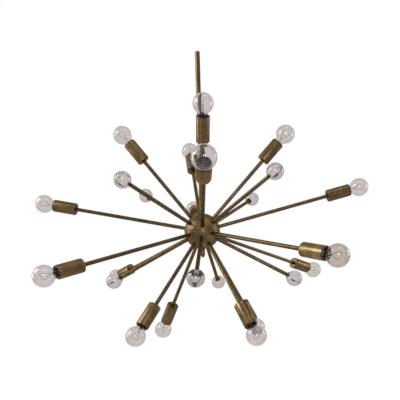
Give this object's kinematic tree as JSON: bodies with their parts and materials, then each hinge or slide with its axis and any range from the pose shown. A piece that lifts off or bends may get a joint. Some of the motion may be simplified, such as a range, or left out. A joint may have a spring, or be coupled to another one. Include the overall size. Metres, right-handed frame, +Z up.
{
  "type": "sputnik chandelier",
  "caption": "Brass sputnik chandelier on a stem: a split hub sphere with radiating arms that end in cup lamp holders with globe bulbs or in clear glass balls.",
  "frame": {"origin": "centre of the stem's top face, where the ceiling fitting screws in", "axes": "+Z up along the stem, -Y the front as pictured, +X to the right seen from the front"},
  "size_m": [0.8346, 0.8323, 0.7145],
  "materials": {
    "stem_brass": "aged, brown patina",
    "hub_brass": "aged, satin, brown patina",
    "arm_brass": "aged, brown patina",
    "cup_brass": "aged, satin with worn golden streaks",
    "finial_brass": "aged, satin",
    "washer_brass": "darkened",
    "plain_brass": "bare, turned",
    "black_moulding": "dusty satin moulding",
    "bulb_glass": "clear",
    "bulb_cap": "rolled sheet",
    "ball_glass": "clear, solid"
  },
  "bodies": {
    "fixture": {"stem_tube": "stem_brass", "upper_half_shell": "hub_brass", "lower_half_shell": "hub_brass", "hub_nipple": "plain_brass", "hub_lock_nut": "plain_brass", "hub_coupling": "plain_brass", "finial_stud": "plain_brass", "terminal_block": "black_moulding", "terminal_screws": "plain_brass", "arm_lock_nuts": "plain_brass", "crown_lamp_arms": "arm_brass", "upper_lamp_arms": "arm_brass", "lower_lamp_arms": "arm_brass", "foot_lamp_arms": "arm_brass", "upper_ball_arms": "arm_brass", "lower_ball_arms": "arm_brass", "ball_washers": "washer_brass", "upper_glass_balls": "ball_glass", "lower_glass_balls": "ball_glass", "upper_lamp_cups": "cup_brass", "lower_lamp_cups": "cup_brass", "upper_lamp_holders": "black_moulding", "lower_lamp_holders": "black_moulding", "holder_entry_nuts": "plain_brass", "holder_screw_shells": "plain_brass", "holder_contacts": "plain_brass"},
    "finial": {"finial": "finial_brass"},
    "bulb_crown_1": {"bulb_crown_1_glass": "bulb_glass", "bulb_crown_1_cap": "bulb_cap"},
    "bulb_crown_2": {"bulb_crown_2_glass": "bulb_glass", "bulb_crown_2_cap": "bulb_cap"},
    "bulb_crown_3": {"bulb_crown_3_glass": "bulb_glass", "bulb_crown_3_cap": "bulb_cap"},
    "bulb_crown_4": {"bulb_crown_4_glass": "bulb_glass", "bulb_crown_4_cap": "bulb_cap"},
    "bulb_upper_1": {"bulb_upper_1_glass": "bulb_glass", "bulb_upper_1_cap": "bulb_cap"},
    "bulb_upper_2": {"bulb_upper_2_glass": "bulb_glass", "bulb_upper_2_cap": "bulb_cap"},
    "bulb_upper_3": {"bulb_upper_3_glass": "bulb_glass", "bulb_upper_3_cap": "bulb_cap"},
    "bulb_upper_4": {"bulb_upper_4_glass": "bulb_glass", "bulb_upper_4_cap": "bulb_cap"},
    "bulb_lower_1": {"bulb_lower_1_glass": "bulb_glass", "bulb_lower_1_cap": "bulb_cap"},
    "bulb_lower_2": {"bulb_lower_2_glass": "bulb_glass", "bulb_lower_2_cap": "bulb_cap"},
    "bulb_lower_3": {"bulb_lower_3_glass": "bulb_glass", "bulb_lower_3_cap": "bulb_cap"},
    "bulb_lower_4": {"bulb_lower_4_glass": "bulb_glass", "bulb_lower_4_cap": "bulb_cap"},
    "bulb_foot_1": {"bulb_foot_1_glass": "bulb_glass", "bulb_foot_1_cap": "bulb_cap"},
    "bulb_foot_2": {"bulb_foot_2_glass": "bulb_glass", "bulb_foot_2_cap": "bulb_cap"},
    "bulb_foot_3": {"bulb_foot_3_glass": "bulb_glass", "bulb_foot_3_cap": "bulb_cap"},
    "bulb_foot_4": {"bulb_foot_4_glass": "bulb_glass", "bulb_foot_4_cap": "bulb_cap"}
  },
  "joints": [
    {"name": "withdraw_bulb_crown_1", "type": "slide", "parent": "fixture", "child": "bulb_crown_1", "axis": [0.0405, -0.5793, 0.8141], "range_m": [0, 0.032]},
    {"name": "withdraw_bulb_crown_2", "type": "slide", "parent": "fixture", "child": "bulb_crown_2", "axis": [0.6725, -0.0648, 0.7373], "range_m": [0, 0.032]},
    {"name": "withdraw_bulb_crown_3", "type": "slide", "parent": "fixture", "child": "bulb_crown_3", "axis": [-0.1045, 0.5927, 0.7986], "range_m": [0, 0.032]},
    {"name": "withdraw_bulb_crown_4", "type": "slide", "parent": "fixture", "child": "bulb_crown_4", "axis": [-0.6156, 0.0107, 0.788], "range_m": [0, 0.032]},
    {"name": "withdraw_bulb_upper_1", "type": "slide", "parent": "fixture", "child": "bulb_upper_1", "axis": [0.0342, -0.9793, 0.1994], "range_m": [0, 0.032]},
    {"name": "withdraw_bulb_upper_2", "type": "slide", "parent": "fixture", "child": "bulb_upper_2", "axis": [0.9663, 0.0591, 0.2504], "range_m": [0, 0.032]},
    {"name": "withdraw_bulb_upper_3", "type": "slide", "parent": "fixture", "child": "bulb_upper_3", "axis": [-0.0836, 0.9552, 0.284], "range_m": [0, 0.032]},
    {"name": "withdraw_bulb_upper_4", "type": "slide", "parent": "fixture", "child": "bulb_upper_4", "axis": [-0.9736, 0.0938, 0.2079], "range_m": [0, 0.032]},
    {"name": "withdraw_bulb_lower_1", "type": "slide", "parent": "fixture", "child": "bulb_lower_1", "axis": [0.6222, -0.7548, -0.2079], "range_m": [0, 0.032]},
    {"name": "withdraw_bulb_lower_2", "type": "slide", "parent": "fixture", "child": "bulb_lower_2", "axis": [0.7714, 0.5919, -0.2334], "range_m": [0, 0.032]},
    {"name": "withdraw_bulb_lower_3", "type": "slide", "parent": "fixture", "child": "bulb_lower_3", "axis": [-0.6555, 0.7154, -0.2419], "range_m": [0, 0.032]},
    {"name": "withdraw_bulb_lower_4", "type": "slide", "parent": "fixture", "child": "bulb_lower_4", "axis": [-0.7559, -0.6013, -0.2588], "range_m": [0, 0.032]},
    {"name": "withdraw_bulb_foot_1", "type": "slide", "parent": "fixture", "child": "bulb_foot_1", "axis": [0.3615, -0.5068, -0.7826], "range_m": [0, 0.032]},
    {"name": "withdraw_bulb_foot_2", "type": "slide", "parent": "fixture", "child": "bulb_foot_2", "axis": [0.4401, 0.4104, -0.7986], "range_m": [0, 0.032]},
    {"name": "withdraw_bulb_foot_3", "type": "slide", "parent": "fixture", "child": "bulb_foot_3", "axis": [-0.3743, 0.4623, -0.8039], "range_m": [0, 0.032]},
    {"name": "withdraw_bulb_foot_4", "type": "slide", "parent": "fixture", "child": "bulb_foot_4", "axis": [-0.4856, -0.4003, -0.7771], "range_m": [0, 0.032]},
    {"name": "unscrew_finial", "type": "slide", "parent": "fixture", "child": "finial", "axis": [0, 0, -1], "range_m": [0, 0.014]}
  ]
}
